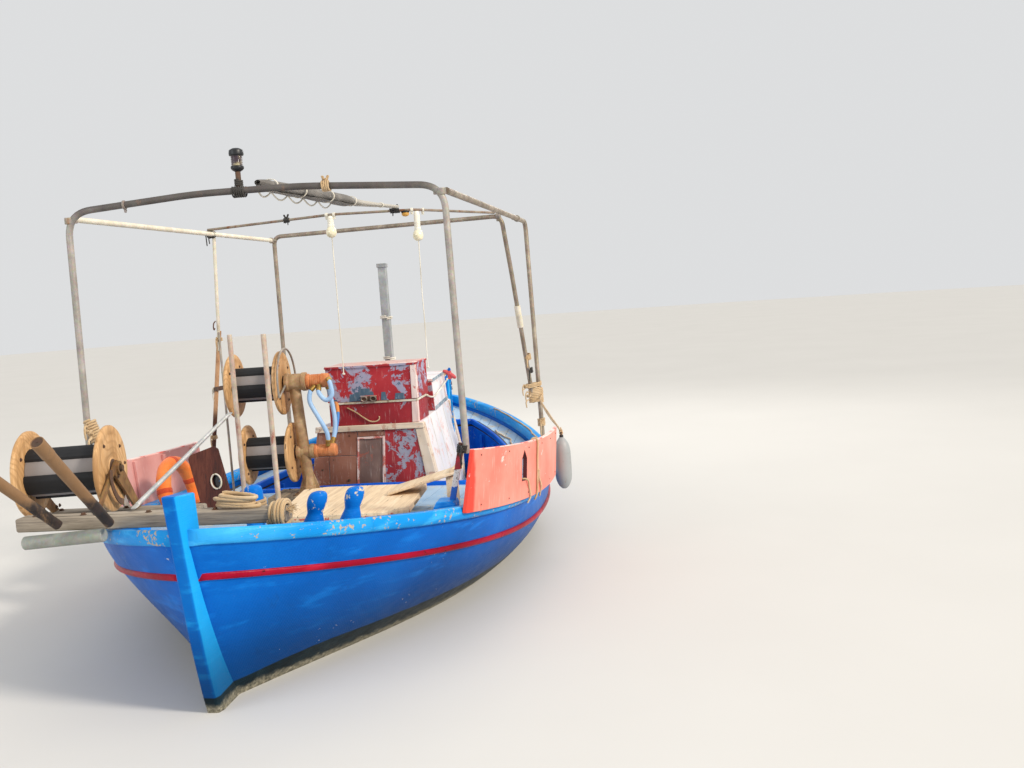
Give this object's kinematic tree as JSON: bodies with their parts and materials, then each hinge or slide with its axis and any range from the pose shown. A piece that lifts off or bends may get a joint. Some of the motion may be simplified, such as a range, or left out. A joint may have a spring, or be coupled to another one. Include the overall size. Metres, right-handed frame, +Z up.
{
  "type": "small wooden fishing boat",
  "caption": "Double-ended wooden inshore net boat with bow roller, twin net hauler, engine casing, pipe awning frame, rudder and propeller.",
  "frame": {"origin": "on the centreline amidships, at the waterline", "axes": "+X forward to the bow, +Y to port, +Z up"},
  "size_m": [6.2739, 2.781, 3.142],
  "materials": {
    "hull_blue": "glossy azure paint on planks, with brush relief, chips at the stem",
    "rail_blue": "lighter glossy blue paint on timber, worn at the edges",
    "bottom_paint": "matt dark bottom paint",
    "deck_paint": "worn pale blue deck paint",
    "board_red": "faded salmon red paint on plywood, white scratches",
    "box_red": "flaking red paint over pale blue-grey",
    "casing_paint": "flaking red, blue-grey and rust brown paint over planks",
    "timber": "grey weathered wood",
    "disc_wood": "tan plywood with worn rings",
    "black_rubber": "dull black rubber bars",
    "ochre_paint": "ochre paint with rust",
    "motor_orange": "orange paint and tape",
    "galvanized_steel": "galvanized pipe with rust spots",
    "rusty_steel": "brown rusty steel with scuffs",
    "canvas": "grey furled canvas with white lacing",
    "blue_hose": "light blue hydraulic hose",
    "white_cord": "thin white twisted cord",
    "buoy_orange": "orange foam covered with cloth",
    "propeller_brass": "dull brass",
    "engine_grey": "painted iron",
    "black_plastic": "black lamp housing",
    "fender_grey": "scuffed grey-blue vinyl"
  },
  "bodies": {
    "root": {"hull_shell": "hull_blue", "stem_post": "hull_blue", "stern_post": "hull_blue", "keel": "bottom_paint", "rail_port": "rail_blue", "rail_stbd": "rail_blue", "deck": "deck_paint", "well_lining": "hull_blue", "well_sole": "deck_paint", "bow_beam_fore": "timber", "bow_beam_aft": "timber", "beam_pipe": "galvanized_steel", "roller_bracket_in": "rusty_steel", "roller_bracket_out": "rusty_steel", "guide_pole_a": "rusty_steel", "guide_pole_b": "rusty_steel", "brace_bar": "galvanized_steel", "hauler_pad": "timber", "hauler_column": "ochre_paint", "upper_motor": "motor_orange", "lower_motor": "motor_orange", "casing_low": "casing_paint", "casing_tall": "casing_paint", "engine_block": "engine_grey", "box_base": "box_red", "stack_post": "galvanized_steel", "front_arch": "galvanized_steel", "frame_rail_port": "galvanized_steel", "frame_rail_stbd": "galvanized_steel", "back_arch": "galvanized_steel", "mid_cross": "galvanized_steel", "mid_post": "galvanized_steel", "nav_light": "black_plastic", "awning_roll": "canvas", "board_port": "board_red", "board_stbd": "board_red", "fore_bitt": "rail_blue", "rail_bitt_fore": "rail_blue", "rail_bitt_aft": "rail_blue", "net_pole_stbd": "galvanized_steel", "net_pole_port": "galvanized_steel", "hatch_board": "timber", "fender": "fender_grey", "lifebuoy": "buoy_orange", "hose_long": "blue_hose", "hose_loop": "blue_hose", "hose_short": "blue_hose", "line_stbd": "white_cord", "line_port": "white_cord"},
    "rudder": {"rudder": "hull_blue"},
    "propeller": {"propeller": "propeller_brass"},
    "bow_roller": {"bow_roller_flanges": "disc_wood", "bow_roller_core": "black_rubber"},
    "upper_drum": {"upper_drum_flanges": "disc_wood", "upper_drum_core": "black_rubber"},
    "lower_drum": {"lower_drum_flanges": "disc_wood", "lower_drum_core": "black_rubber"},
    "box_lid": {"box_lid": "box_red"}
  },
  "joints": [
    {"name": "rudder_hinge", "type": "hinge", "parent": "root", "child": "rudder", "pos_m": [-2.905, 0, -0.545], "axis": [-0.1666, 0, 0.986], "range_deg": [-35, 35]},
    {"name": "propeller_spin", "type": "hinge", "parent": "root", "child": "propeller", "pos_m": [-2.655, 0, -0.3], "axis": [1, 0, 0], "continuous": true},
    {"name": "bow_roller_spin", "type": "hinge", "parent": "root", "child": "bow_roller", "pos_m": [2.2, -0.825, 1.035], "axis": [-0.1822, 0.9833, 0], "continuous": true},
    {"name": "upper_drum_spin", "type": "hinge", "parent": "root", "child": "upper_drum", "pos_m": [0.3, -0.345, 1.255], "axis": [-0.0872, 0.9962, 0], "continuous": true},
    {"name": "lower_drum_spin", "type": "hinge", "parent": "root", "child": "lower_drum", "pos_m": [0.3, -0.345, 0.785], "axis": [-0.0872, 0.9962, 0], "continuous": true},
    {"name": "box_lid_hinge", "type": "hinge", "parent": "root", "child": "box_lid", "pos_m": [-0.62, 0, 1.043], "axis": [0, -1, 0], "range_deg": [0, 95]}
  ]
}
